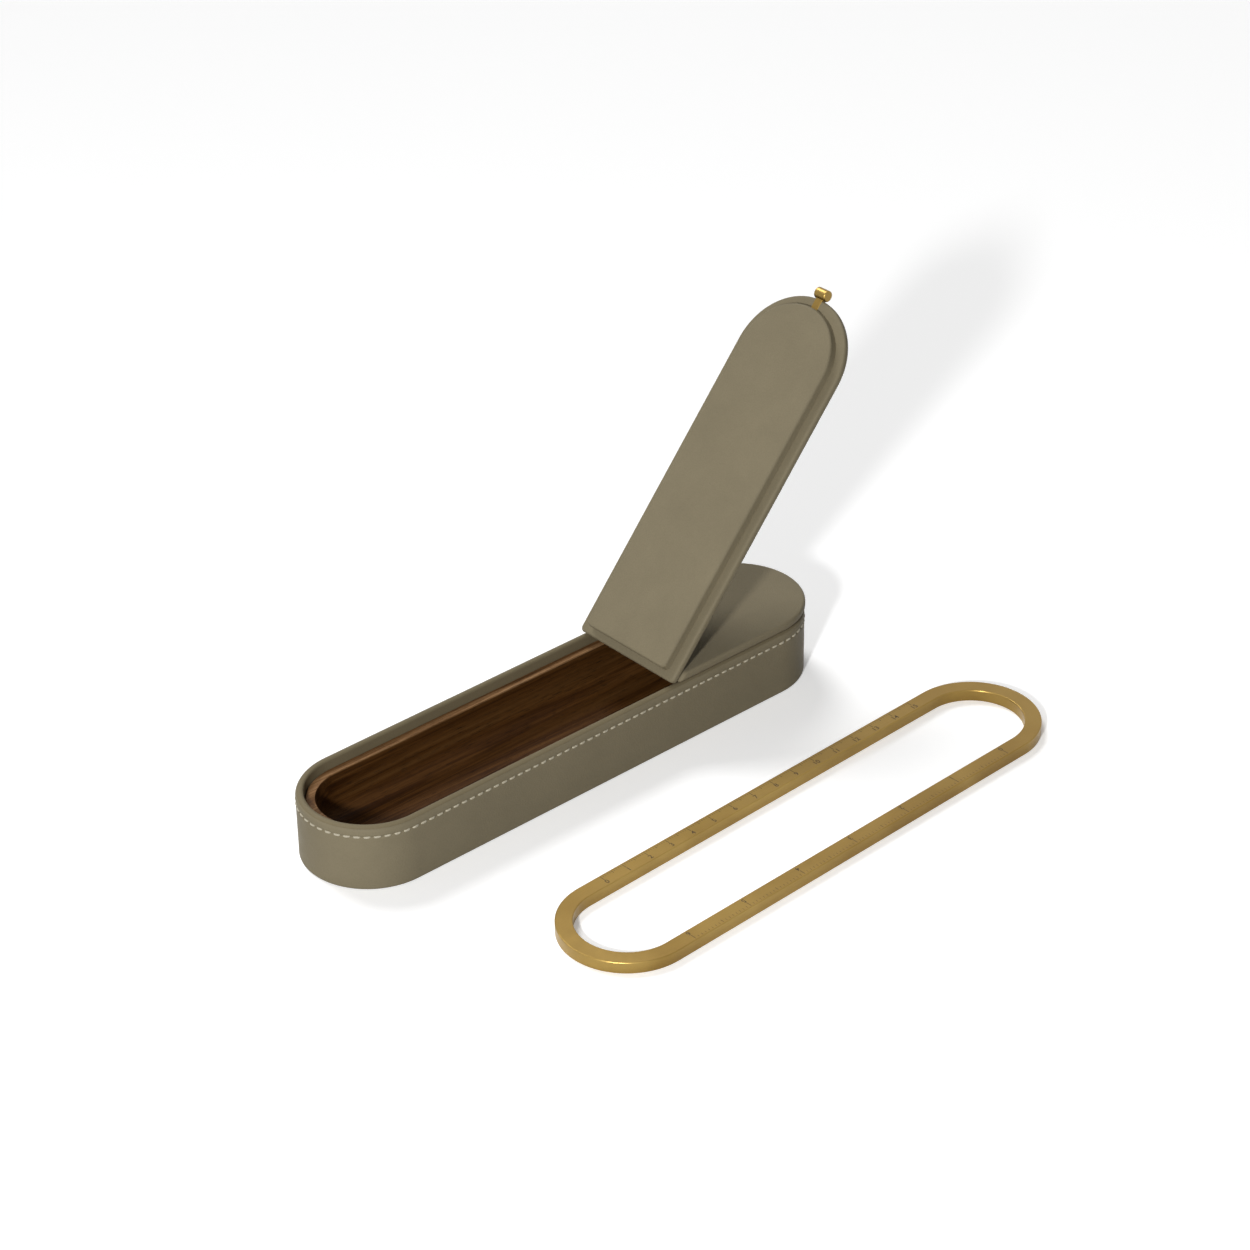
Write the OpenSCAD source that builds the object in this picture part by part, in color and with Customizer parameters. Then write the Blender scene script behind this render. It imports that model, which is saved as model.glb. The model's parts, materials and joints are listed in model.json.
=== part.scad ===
// Pen tray: a leather-covered obround box with a walnut trough, a fixed rear cover, a hinged lid
// with a brass pull, and the brass ruler frame that lies beside it.
// Origin: the centre of the box's base, on the table. X runs along the box towards the fixed
// cover, Y across it and Z up. The lid is drawn closed and then turned open about its hinge pin.

/* [Box] */
// Length of the box over its wall
box_length = 217.6; // [200:0.1:260]
// Width of the box over its wall
box_width = 49.6; // [46:0.1:64]
// Height of the wall's crest above the table
wall_height = 24.9; // [23:0.1:36]
// Thickness of the leather on the outside of the wall
outer_leather_thickness = 0.9; // [0.8:0.05:1.3]
// Thickness of the board inside the wall
wall_board_thickness = 1.2; // [1:0.05:2]
// Thickness of the leather that lines the wall
lining_thickness = 0.9; // [0.8:0.05:1.3]
// Radius of the round outer shoulder of the wall's crest
shoulder_radius = 2; // [1.6:0.1:2.2]
// Width of the gap that shows as a line along the seam on the wall's shoulder
seam_gap = 0.15; // [0.1:0.01:0.3]
// Drop from the crest to that seam
seam_drop = 0.7; // [0.5:0.05:1.1]

/* [Base] */
// Thickness of the base pad, and of the leather turned in around it
base_pad_thickness = 0.8; // [0.6:0.05:1.4]
// Width of the leather that is turned in under the base
turn_in_width = 9; // [6:0.5:14]
// Gap between the turned-in leather and the base pad
base_pad_clearance = 0.3; // [0.1:0.05:0.6]
// Thickness of the board that closes the base
base_board_thickness = 1.8; // [1.4:0.1:3]
// Radius of the leather along the bottom edge
bottom_edge_radius = 0.7; // [0.4:0.05:0.8]

/* [Stitching] */
// Drop from the crest to the row of stitches
stitch_drop = 3.7; // [3.4:0.1:6]
// Distance from one stitch to the next
stitch_pitch = 3.5; // [2.8:0.1:5]
// Length of one stitch
stitch_length = 2.3; // [1.6:0.1:2.6]
// Thickness of the thread
thread_thickness = 0.5; // [0.4:0.05:0.7]
// Depth of the groove that the stitches lie in
stitch_groove_depth = 0.3; // [0.2:0.05:0.5]

/* [Walnut trough] */
// Drop from the crest to the top of the walnut
walnut_drop = 3.6; // [3.4:0.1:6]
// Gap between the walnut and the lining around it
walnut_clearance = 0.3; // [0.1:0.05:0.5]
// Width of the walnut rim around the trough
walnut_rim_width = 3.2; // [3:0.1:6]
// Radius of the rim's outer edge
walnut_edge_radius = 0.4; // [0.3:0.05:1.2]
// Thickness of the walnut under the trough
walnut_floor_thickness = 1.8; // [1.4:0.1:4]
// Radius of the cove between the trough's side and its floor
trough_cove_radius = 6; // [3:0.1:9]

/* [Lid and cover] */
// Distance of the lid's edge inside the wall's outer face
lid_inset = 0.6; // [0.3:0.1:1]
// Overhang of the cover's edge past the wall's outer face
cover_overhang = 0.2; // [0:0.05:0.5]
// Rise of the cover's top above the closed lid's
cover_rise = 0.35; // [0:0.05:0.8]
// Distance of the block's front behind the lid's hinge end
block_setback = 15; // [5:0.5:20]
// Thickness of the lid between its leather faces
lid_thickness = 2.8; // [2.6:0.1:3.6]
// Gap between the wall's crest and the underside of the closed lid and the cover
lid_seat_gap = 0.8; // [0.5:0.05:1.2]
// Thickness of the leather on top of the lid and the cover
lid_top_leather = 0.6; // [0.5:0.05:0.8]
// Thickness of the leather around the lid's and the cover's edge
lid_edge_leather = 0.8; // [0.6:0.05:1]
// Thickness of the leather turned in under the lid and the cover
lid_under_leather = 0.5; // [0.4:0.05:0.6]
// Radius of the edges of the lid and the cover
lid_edge_radius = 0.9; // [0.5:0.05:1.1]
// Height of the raised panel under the lid
panel_height = 3.2; // [1.5:0.1:3.4]
// Gap between the raised panel and the lining around it
panel_clearance = 1.4; // [0.6:0.1:2]
// Thickness of the leather on the raised panel
panel_leather_thickness = 0.6; // [0.4:0.05:0.9]
// Radius of the raised panel's edge
panel_edge_radius = 0.7; // [0.3:0.05:0.75]
// Width of the border between the raised panel and the lid's hinge end
hinge_border = 3; // [2.6:0.1:5]
// Gap between the block under the cover and the lining around it
cover_block_clearance = 0.2; // [0.1:0.05:0.5]

/* [Hinge] */
// Place of the hinge pin along the box, from its centre
hinge_x = 32.6; // [20:0.1:45]
// Angle that the lid is turned open in this model
lid_open_angle = 130.8; // [100:0.1:135]
// Diameter of the hinge pin
pin_diameter = 0.8; // [0.6:0.05:0.9]
// Radial gap between the pin and the knuckles
pin_clearance = 0.03; // [0.02:0.01:0.08]
// Wall of a knuckle around the pin
knuckle_wall = 0.45; // [0.35:0.05:0.5]
// Radial gap between the knuckles and the leather around them
knuckle_clearance = 0.1; // [0.05:0.01:0.15]
// Number of knuckles, the outer ones on the fixed leaf
knuckle_count = 5; // [3:2:9]
// Width of the hinge across the box
hinge_width = 36; // [24:1:40]
// Gap between one knuckle and the next
knuckle_gap = 0.15; // [0.1:0.01:0.3]
// Length of a hinge leaf from the pin
leaf_length = 11; // [8:0.5:16]
// Thickness of a hinge leaf
leaf_thickness = 0.7; // [0.5:0.05:0.8]
// Diameter of the rivets through the leaves
rivet_diameter = 1.4; // [1:0.1:2]
// Number of rivets in a leaf
rivet_count = 3; // [2:1:5]
// Gap between the open lid and the slanted front edge of the cover
stop_gap = 0.3; // [0.2:0.05:0.5]

/* [Pull] */
// Diameter of the pull's bar
bar_diameter = 4.2; // [3.2:0.1:5]
// Length of the pull's bar
bar_length = 5.4; // [4.5:0.1:9]
// Gap between the bar and the lid's tip
bar_gap = 0.15; // [0.1:0.05:1]
// Rise of the bar's axis above the lid's underside
bar_rise = 0.6; // [0.6:0.05:1]
// Width of the pull's stem
stem_width = 3.2; // [2.4:0.1:4]
// Length of the stem that is let into the lid
stem_seat_length = 6; // [5:0.5:12]
// Thickness of the stem
stem_thickness = 1.6; // [1.5:0.05:1.9]
// Diameter of the stem's pin in the bar
stem_pin_diameter = 1; // [0.8:0.1:1.1]

/* [Ruler frame] */
// Length of the ruler frame
ruler_length = 216.8; // [190:0.1:260]
// Width of the ruler frame
ruler_width = 47.8; // [36:0.1:70]
// Width of the frame's band
ruler_band = 6; // [5:0.1:9]
// Thickness of the ruler frame
ruler_thickness = 4.5; // [2.5:0.1:6]
// Bevel along the frame's edges
ruler_bevel = 0.3; // [0.2:0.05:0.5]
// Place of the ruler frame's centre along the box
ruler_x = 32.6; // [-20:0.1:60]
// Clear space between the box and the ruler frame
ruler_space = 41.7; // [15:0.1:80]
// Angle of the ruler frame to the box
ruler_angle = 2; // [-5:0.1:5]
// Width of a graduation mark
mark_width = 0.25; // [0.15:0.05:0.4]
// Thickness of the enamel in the marks
mark_thickness = 0.05; // [0.04:0.01:0.1]
// Distance of the marks from the frame's outer edge
mark_edge = 0.6; // [0.5:0.1:1]
// Length of the mark at a whole centimetre or inch
long_mark = 3.2; // [2.4:0.1:3.6]
// Length of the marks in between
short_mark = 1.8; // [1:0.1:2.2]
// Whole centimetres on the far side
centimetres = 15; // [5:1:16]
// Whole inches on the near side
inches = 6; // [2:1:6]

/* [Hidden] */
$fn = 96;

leather_colour = [0.48, 0.44, 0.36];
lining_colour = [0.42, 0.39, 0.31];
board_colour = [0.62, 0.58, 0.50];
walnut_colour = [0.30, 0.19, 0.11];
brass_colour = [0.72, 0.58, 0.32];
thread_colour = [0.80, 0.77, 0.68];
suede_colour = [0.36, 0.32, 0.26];
enamel_colour = [0.20, 0.15, 0.08];

// The wall, from its outer face inwards
wall_thickness = outer_leather_thickness + wall_board_thickness + lining_thickness;
lining_at = outer_leather_thickness + wall_board_thickness;
inner_shoulder = wall_thickness - shoulder_radius;
board_top = wall_height - shoulder_radius;
seam_z = wall_height - seam_drop;
stitch_z = wall_height - stitch_drop;

// The base and the walnut trough
base_board_z = base_pad_thickness;
walnut_z = base_board_z + base_board_thickness;
walnut_top = wall_height - walnut_drop;
walnut_outset = wall_thickness + walnut_clearance;
trough_outset = walnut_outset + walnut_rim_width;
trough_floor = walnut_z + walnut_floor_thickness;

// The lid, drawn closed, and the cover
lid_under = wall_height + lid_seat_gap;
lid_top = lid_under + lid_thickness;
lid_length = box_length - 2 * lid_inset;
lid_width = box_width - 2 * lid_inset;
board_under = lid_under + lid_under_leather;
board_over = lid_top - lid_top_leather;
cover_top = lid_top + cover_rise;
panel_inset = wall_thickness + panel_clearance;
panel_under = lid_under - panel_height;
lid_tip = -lid_length / 2;

// The hinge, with its pin in the middle of the lid's thickness
nose_radius = lid_thickness / 2;
hinge_z = lid_under + nose_radius;
pin_radius = pin_diameter / 2;
knuckle_bore = pin_radius + pin_clearance;
knuckle_radius = knuckle_bore + knuckle_wall;
nose_bore = knuckle_radius + knuckle_clearance;
hinge_end = hinge_x + nose_radius;
knuckle_pitch = hinge_width / knuckle_count;
open_lean = 180 - lid_open_angle;
cover_edge_offset = nose_radius + stop_gap;
rivet_x = leaf_length - 2 * rivet_diameter;
edge_leather_depth = cover_edge_offset + lid_edge_leather + leaf_thickness / 2 * cos(open_lean);
cover_relief = edge_leather_depth / sin(open_lean);

// The pull, drawn with the lid closed
bar_radius = bar_diameter / 2;
bar_x = lid_tip - bar_gap - bar_radius;
bar_z = lid_under + bar_rise;

// The ruler frame
ruler_y = -(box_width / 2 + ruler_space + ruler_width / 2);
inch = 25.4;
over = 1;

// The direction at this angle above +X
function heading(angle) = [cos(angle), sin(angle)];

// The flat outline of an obround
module obround(length, width) {
    translate([-(length - width) / 2, -width / 2])
        square([length - width, width]);
    for (side = [-1, 1])
        translate([side * (length - width) / 2, 0])
            circle(d = width);
}

// An obround body whose section is drawn from the middle line (x = 0) outwards
module obround_body(length, width) {
    straight = length - width;
    for (side = [0, 180])
        rotate([0, 0, side])
            translate([straight / 2, 0, 0])
                rotate([0, 0, -90])
                    rotate_extrude(angle = 180)
                        children();
    translate([-straight / 2, 0, 0])
        rotate([90, 0, 90])
            linear_extrude(straight) {
                children();
                mirror([1, 0])
                    children();
            }
}

// Places a section that is drawn inwards from the box's outer face (x = 0 at the face)
module from_face() {
    translate([box_width / 2, 0])
        mirror([1, 0])
            children();
}

// A rectangle from corner to corner
module span(from, to) {
    translate(from)
        square(to - from);
}

// Turns the closed lid's pieces open about the hinge pin
module opened() {
    translate([hinge_x, 0, hinge_z])
        rotate([0, lid_open_angle, 0])
            translate([-hinge_x, 0, -hinge_z])
                children();
}

// The whole wall's section, with a round shoulder on each side of its crest
module wall_section() {
    span([0, 0], [shoulder_radius, board_top]);
    intersection() {
        translate([shoulder_radius, board_top])
            circle(r = shoulder_radius);
        span([0, board_top], [shoulder_radius, wall_height]);
    }
    span([shoulder_radius, 0], [wall_thickness, wall_height - inner_shoulder]);
    intersection() {
        translate([shoulder_radius, wall_height - inner_shoulder])
            circle(r = inner_shoulder);
        span([shoulder_radius, wall_height - inner_shoulder], [wall_thickness, wall_height]);
    }
}

module base_pad() {
    color(suede_colour)
        linear_extrude(base_pad_thickness)
            obround(
                box_length - 2 * (turn_in_width + base_pad_clearance),
                box_width - 2 * (turn_in_width + base_pad_clearance)
            );
}

module base_board() {
    color(board_colour)
        translate([0, 0, base_board_z])
            linear_extrude(base_board_thickness)
                obround(box_length - 2 * outer_leather_thickness, box_width - 2 * outer_leather_thickness);
}

module wall_board() {
    color(board_colour)
        obround_body(box_length, box_width)
            from_face()
                span([outer_leather_thickness, walnut_z], [lining_at, board_top]);
}

module outer_leather() {
    color(leather_colour)
        obround_body(box_length, box_width)
            from_face()
                difference() {
                    intersection() {
                        wall_section();
                        span([0, 0], [outer_leather_thickness, seam_z - seam_gap / 2]);
                    }
                    span([-over, -over], [bottom_edge_radius, bottom_edge_radius]);
                    span(
                        [-over, stitch_z - thread_thickness / 2],
                        [stitch_groove_depth, stitch_z + thread_thickness / 2]
                    );
                }
    color(leather_colour)
        obround_body(box_length, box_width)
            from_face() {
                span([bottom_edge_radius, 0], [turn_in_width, base_pad_thickness]);
                intersection() {
                    translate([bottom_edge_radius, bottom_edge_radius])
                        circle(r = bottom_edge_radius);
                    span([0, 0], [bottom_edge_radius, bottom_edge_radius]);
                }
            }
}

module lining_leather() {
    color(lining_colour)
        obround_body(box_length, box_width)
            from_face() {
                intersection() {
                    wall_section();
                    union() {
                        span([lining_at, walnut_z], [wall_thickness, wall_height]);
                        span([outer_leather_thickness, board_top], [wall_thickness, wall_height]);
                        span([0, seam_z + seam_gap / 2], [wall_thickness, wall_height]);
                    }
                }
            }
}

// One stitch, lying along X on the face at y = 0 and standing towards -Y
module stitch() {
    translate([-stitch_length / 2, -thread_thickness, -thread_thickness / 2])
        cube([stitch_length, thread_thickness, thread_thickness]);
}

module wall_stitching() {
    straight = box_length - box_width;
    seat = box_width / 2 - stitch_groove_depth;
    straight_count = floor(straight / stitch_pitch);
    turn_count = round(PI * seat / stitch_pitch);
    color(thread_colour)
        translate([0, 0, stitch_z])
            for (side = [0, 180])
                rotate([0, 0, side]) {
                    for (i = [0 : straight_count - 1])
                        translate([(i + 0.5) * straight / straight_count - straight / 2, -seat, 0])
                            stitch();
                    for (i = [0 : turn_count - 1])
                        translate([straight / 2, 0, 0])
                            rotate([0, 0, (i + 0.5) * 180 / turn_count])
                                translate([0, -seat, 0])
                                    stitch();
                }
}

module walnut_trough() {
    block_half = box_width / 2 - walnut_outset;
    trough_half = box_width / 2 - trough_outset;
    color(walnut_colour)
        obround_body(box_length, box_width)
            difference() {
                union() {
                    span([0, walnut_z], [block_half, walnut_top - walnut_edge_radius]);
                    span([0, walnut_z], [block_half - walnut_edge_radius, walnut_top]);
                    translate([block_half - walnut_edge_radius, walnut_top - walnut_edge_radius])
                        circle(r = walnut_edge_radius);
                }
                span([-over, trough_floor + trough_cove_radius], [trough_half, walnut_top + over]);
                span([-over, trough_floor], [trough_half - trough_cove_radius, walnut_top + over]);
                translate([trough_half - trough_cove_radius, trough_floor + trough_cove_radius])
                    circle(r = trough_cove_radius);
            }
}

// The half of the box behind a slanted edge that lies this far from the hinge pin
module behind_edge(offset_from_pin) {
    reach = box_length;
    translate([hinge_x, 0, hinge_z])
        rotate([0, -open_lean, 0])
            translate([-reach, -reach / 2, -offset_from_pin - reach])
                cube([2 * reach, reach, reach]);
}

// A plate as far out as this inset from the wall's outer face, with its edges rounded
module plate_section(inset, over_z) {
    half = box_width / 2 - inset;
    span([0, lid_under + lid_edge_radius], [half, over_z - lid_edge_radius]);
    span([0, lid_under], [half - lid_edge_radius, over_z]);
    for (z = [lid_under + lid_edge_radius, over_z - lid_edge_radius])
        translate([half - lid_edge_radius, z])
            circle(r = lid_edge_radius);
}

// The board inside a plate with that inset
module board_section(inset, over_z) {
    span([0, board_under], [box_width / 2 - inset - lid_edge_leather, over_z - lid_top_leather]);
}

module leaf_body(direction) {
    translate([min(0, direction * leaf_length), -hinge_width / 2, -leaf_thickness / 2])
        cube([leaf_length, hinge_width, leaf_thickness]);
}

// Rivet places, seen from the pin
module at_rivets(direction) {
    spacing = hinge_width / rivet_count;
    for (i = [0 : rivet_count - 1])
        translate([direction * rivet_x, (i + 0.5) * spacing - hinge_width / 2, 0])
            children();
}

module rivet_shape() {
    translate([0, 0, board_under - hinge_z])
        cylinder(d = rivet_diameter, h = board_over - board_under);
}

module cover_block() {
    inset = wall_thickness + cover_block_clearance;
    front = hinge_end + block_setback;
    color(walnut_colour)
        intersection() {
            translate([0, 0, walnut_top])
                linear_extrude(lid_under - walnut_top)
                    obround(box_length - 2 * inset, box_width - 2 * inset);
            translate([front, -box_width / 2, 0])
                cube([box_length, box_width, lid_top]);
        }
}

module cover_board() {
    color(board_colour)
        difference() {
            intersection() {
                obround_body(box_length, box_width)
                    board_section(-cover_overhang, cover_top);
                behind_edge(cover_edge_offset + lid_edge_leather);
            }
            translate([hinge_x, 0, hinge_z]) {
                leaf_body(1);
                at_rivets(1)
                    rivet_shape();
            }
        }
}

module cover_leather() {
    color(leather_colour)
        difference() {
            intersection() {
                obround_body(box_length, box_width)
                    plate_section(-cover_overhang, cover_top);
                behind_edge(cover_edge_offset);
            }
            intersection() {
                obround_body(box_length, box_width)
                    board_section(-cover_overhang, cover_top);
                behind_edge(cover_edge_offset + lid_edge_leather);
            }
            translate([hinge_x, 0, hinge_z])
                fixed_leaf_slots();
        }
}

// The slots in the cover's front leather that the fixed leaf's plates pass through
module fixed_leaf_slots() {
    for (i = [0 : 2 : knuckle_count - 1])
        translate([0, i * knuckle_pitch - hinge_width / 2, -leaf_thickness / 2])
            cube([leaf_length, knuckle_pitch, leaf_thickness]);
}

// Every second knuckle, from first on, with its bore left for later
module knuckle_barrels(first, radius, gap) {
    for (i = [first : 2 : knuckle_count - 1])
        translate([0, i * knuckle_pitch - hinge_width / 2 + gap / 2, 0])
            rotate([-90, 0, 0])
                cylinder(r = radius, h = knuckle_pitch - gap);
}

module pin_bore() {
    rotate([90, 0, 0])
        cylinder(r = knuckle_bore, h = hinge_width + 2 * over, center = true);
}

// A leaf with its knuckles. The other leaf's knuckles have their room cut out of it, as far as
// relief from the pin.
module hinge_leaf(direction, first, relief) {
    difference() {
        union() {
            leaf_body(direction);
            knuckle_barrels(first, knuckle_radius, knuckle_gap);
        }
        for (i = [1 - first : 2 : knuckle_count - 1])
            translate([-relief, i * knuckle_pitch - hinge_width / 2 - knuckle_gap / 2, -nose_bore])
                cube([2 * relief, knuckle_pitch + knuckle_gap, 2 * nose_bore]);
        pin_bore();
        at_rivets(direction)
            rivet_shape();
    }
}

module hinge_fixed_leaf() {
    color(brass_colour)
        translate([hinge_x, 0, hinge_z])
            hinge_leaf(1, 0, cover_relief);
}

module hinge_pin() {
    color(brass_colour)
        translate([hinge_x, 0, hinge_z])
            rotate([90, 0, 0])
                cylinder(r = pin_radius, h = hinge_width - 2 * knuckle_gap, center = true);
}

module hinge_fixed_rivets() {
    color(brass_colour)
        translate([hinge_x, 0, hinge_z])
            at_rivets(1)
                rivet_shape();
}

// The part of the closed lid in front of a straight edge across the box
module before_edge(x) {
    translate([x - box_length, -box_width / 2, 0])
        cube([box_length, box_width, 2 * lid_top]);
}

// The flat tongue of the pull's stem, which is let into the underside of the lid's tip
module stem_tongue() {
    translate([lid_tip, -stem_width / 2, lid_under])
        cube([stem_seat_length, stem_width, stem_thickness]);
}

// The slot for that tongue, open at the lid's tip and underside
module stem_seat() {
    translate([lid_tip - over, -stem_width / 2, lid_under - over])
        cube([stem_seat_length + over, stem_width, stem_thickness + over]);
}

module lid_board() {
    color(board_colour)
        opened()
            difference() {
                intersection() {
                    obround_body(box_length, box_width)
                        board_section(lid_inset, lid_top);
                    before_edge(hinge_x - nose_bore);
                }
                stem_seat();
                translate([hinge_x, 0, hinge_z]) {
                    leaf_body(-1);
                    at_rivets(-1)
                        rivet_shape();
                    fixed_leaf_sweep();
                }
            }
}

// The raised panel's outline, cut straight at the hinge end
module panel_shape(inset, from_z, to_z) {
    intersection() {
        translate([0, 0, from_z])
            linear_extrude(to_z - from_z)
                obround(box_length - 2 * (panel_inset + inset), box_width - 2 * (panel_inset + inset));
        before_edge(hinge_end - hinge_border - inset);
    }
}

module lid_leather() {
    color(leather_colour)
        opened()
            difference() {
                union() {
                    intersection() {
                        obround_body(box_length, box_width)
                            plate_section(lid_inset, lid_top);
                        before_edge(hinge_x);
                    }
                    translate([hinge_x, 0, hinge_z])
                        rotate([90, 0, 0])
                            cylinder(r = nose_radius, h = lid_width, center = true);
                }
                intersection() {
                    obround_body(box_length, box_width)
                        board_section(lid_inset, lid_top);
                    before_edge(hinge_x - nose_bore);
                }
                panel_shape(panel_leather_thickness, lid_under - over, board_under);
                stem_seat();
                translate([hinge_x, 0, hinge_z]) {
                    rotate([90, 0, 0])
                        cylinder(r = nose_bore, h = hinge_width + knuckle_gap, center = true);
                    translate([-nose_bore - over, -hinge_width / 2, -leaf_thickness / 2])
                        cube([nose_bore + over, hinge_width, leaf_thickness]);
                    fixed_leaf_sweep();
                }
            }
}

// The room that the fixed leaf's plates take up as the lid turns, seen from the closed lid
module fixed_leaf_sweep() {
    half = leaf_thickness / 2 + knuckle_clearance;
    reach = 3 * nose_radius;
    steps = 8;
    for (i = [0 : 2 : knuckle_count - 1])
        translate([0, (i + 1) * knuckle_pitch - hinge_width / 2 + knuckle_gap / 2, 0])
            rotate([90, 0, 0])
                linear_extrude(knuckle_pitch + knuckle_gap)
                    polygon(concat(
                        [[0, -half], [reach, -half]],
                        [for (s = [0 : steps]) reach * heading(s * lid_open_angle / steps)],
                        [
                            reach * heading(lid_open_angle) + half * heading(lid_open_angle + 90),
                            half * heading(lid_open_angle + 90)
                        ]
                    ));
}

module lid_panel_board() {
    color(board_colour)
        opened()
            difference() {
                panel_shape(panel_leather_thickness, panel_under + panel_leather_thickness, board_under);
                stem_tongue();
            }
}

module lid_panel_leather() {
    slim = panel_inset + panel_edge_radius;
    color(leather_colour)
        opened()
            difference() {
                union() {
                    panel_shape(0, panel_under + panel_edge_radius, lid_under);
                    panel_shape(panel_edge_radius, panel_under, panel_under + panel_edge_radius);
                    intersection() {
                        obround_body(box_length, box_width)
                            translate([box_width / 2 - slim, panel_under + panel_edge_radius])
                                circle(r = panel_edge_radius);
                        before_edge(hinge_end - hinge_border - panel_edge_radius);
                    }
                }
                panel_shape(panel_leather_thickness, panel_under + panel_leather_thickness, lid_under + over);
            }
}

module hinge_lid_leaf() {
    color(brass_colour)
        opened()
            translate([hinge_x, 0, hinge_z])
                hinge_leaf(-1, 1, nose_bore);
}

module hinge_lid_rivets() {
    color(brass_colour)
        opened()
            translate([hinge_x, 0, hinge_z])
                at_rivets(-1)
                    rivet_shape();
}

// The stem's round pin, from the middle of the bar's far half to inside the lid's tip
module stem_pin(radius) {
    start = bar_x - bar_radius / 2;
    translate([start, 0, bar_z])
        rotate([0, 90, 0])
            cylinder(r = radius, h = lid_tip + over / 2 - start);
}

module pull_stem() {
    color(brass_colour)
        opened() {
            stem_tongue();
            stem_pin(stem_pin_diameter / 2);
        }
}

module pull_bar() {
    color(brass_colour)
        opened()
            difference() {
                translate([bar_x, 0, bar_z])
                    rotate([90, 0, 0])
                        cylinder(r = bar_radius, h = bar_length, center = true);
                stem_pin(stem_pin_diameter / 2 + pin_clearance);
            }
}

// Places what is drawn on the ruler frame where the frame lies
module beside_box() {
    translate([ruler_x, ruler_y, 0])
        rotate([0, 0, ruler_angle])
            children();
}

module ruler_section() {
    outer = ruler_width / 2;
    inner = outer - ruler_band;
    polygon([
        [inner + ruler_bevel, 0], [outer - ruler_bevel, 0], [outer, ruler_bevel],
        [outer, ruler_thickness - ruler_bevel], [outer - ruler_bevel, ruler_thickness],
        [inner + ruler_bevel, ruler_thickness], [inner, ruler_thickness - ruler_bevel],
        [inner, ruler_bevel]
    ]);
}

module ruler_frame() {
    color(brass_colour)
        beside_box()
            obround_body(ruler_length, ruler_width)
                ruler_section();
}

// A row of marks with a long one at every whole step and short ones in between
module scale_marks(wholes, step, parts) {
    outer_edge = ruler_width / 2 - ruler_bevel - mark_edge;
    for (i = [0 : wholes * parts]) {
        length = i % parts == 0 ? long_mark : short_mark;
        translate([(i / parts - wholes / 2) * step - mark_width / 2, outer_edge - length, ruler_thickness])
            cube([mark_width, length, mark_thickness]);
    }
}

module centimetre_marks() {
    color(enamel_colour)
        beside_box()
            scale_marks(centimetres, 10, 2);
}

module inch_marks() {
    color(enamel_colour)
        beside_box()
            rotate([0, 0, 180])
                scale_marks(inches, inch, 4);
}

base_pad();
base_board();
wall_board();
outer_leather();
lining_leather();
wall_stitching();
walnut_trough();
cover_block();
cover_board();
cover_leather();
hinge_fixed_leaf();
hinge_pin();
hinge_fixed_rivets();
lid_board();
lid_leather();
lid_panel_board();
lid_panel_leather();
hinge_lid_leaf();
hinge_lid_rivets();
pull_stem();
pull_bar();
ruler_frame();
centimetre_marks();
inch_marks();
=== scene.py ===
"""Pen tray: materials, fine pieces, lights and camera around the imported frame."""

import json
import math
import random

import bmesh
import bpy
from mathutils import Matrix, Vector, noise


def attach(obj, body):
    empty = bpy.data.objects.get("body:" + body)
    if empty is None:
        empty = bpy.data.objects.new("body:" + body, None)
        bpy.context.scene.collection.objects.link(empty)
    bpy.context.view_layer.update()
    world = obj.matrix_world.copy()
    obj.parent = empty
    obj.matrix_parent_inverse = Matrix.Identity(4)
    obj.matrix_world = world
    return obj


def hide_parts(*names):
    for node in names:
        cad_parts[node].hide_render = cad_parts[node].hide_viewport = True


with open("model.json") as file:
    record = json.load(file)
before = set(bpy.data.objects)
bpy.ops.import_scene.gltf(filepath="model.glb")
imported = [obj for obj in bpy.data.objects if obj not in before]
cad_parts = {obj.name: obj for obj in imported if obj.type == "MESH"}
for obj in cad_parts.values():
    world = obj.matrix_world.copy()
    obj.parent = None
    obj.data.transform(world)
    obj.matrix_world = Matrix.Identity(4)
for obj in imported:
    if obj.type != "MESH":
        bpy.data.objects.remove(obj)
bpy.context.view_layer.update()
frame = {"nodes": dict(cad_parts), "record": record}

MM = 0.001

# The camera, fitted to the photograph
CAMERA_PLACE = (-0.687854, -0.817869, 0.71418)
CAMERA_FORWARD = (0.56122, 0.63842, -0.52674)
CAMERA_UP = (0.3588, 0.38584, 0.84994)
FOCAL_PIXELS = 3664.69
IMAGE_PIXELS = 1250
SENSOR_WIDTH = 36.0
HALF_PIXEL = 0.5 / IMAGE_PIXELS

# The sizes of part.scad that the pieces here share, in millimetres
BOX_LENGTH = 217.6
BOX_WIDTH = 49.6
WALL_HEIGHT = 24.9
WALL = 3.0
OUTER_LEATHER = 0.9
LINING = 0.9
SHOULDER = 2.0
SEAM_DROP = 0.7
BASE_PAD = 0.8
BASE_TOP = 2.6
TURN_IN = 9.0
PAD_GAP = 0.3
STITCH_Z = 21.2
STITCH_PITCH = 3.5
HINGE = Vector((32.6, 0.0, 27.1))
LID_OPEN = math.radians(130.8)
LID_UNDER = 25.7
LID_TOP = 28.5
HINGE_END = 34.0
COVER_TOP = 28.85
COVER_OVERHANG = 0.2
COVER_EDGE_OFFSET = 1.7
PANEL_UNDER = 22.5
PANEL_INSET = 4.4
PANEL_END = 31.0
LID_TIP = -108.2
BAR_RADIUS = 2.1
BAR_LENGTH = 5.4
BAR_CENTRE = Vector((-110.45, 0.0, 26.3))
STEM_WIDTH = 3.2
STEM_SEAT = 6.0
RULER_CENTRE = Vector((32.6, -90.4, 0.0))
RULER_ANGLE = math.radians(2)
RULER_LENGTH = 216.8
RULER_WIDTH = 47.8
RULER_BAND = 6.0
RULER_TOP = 4.5
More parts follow.
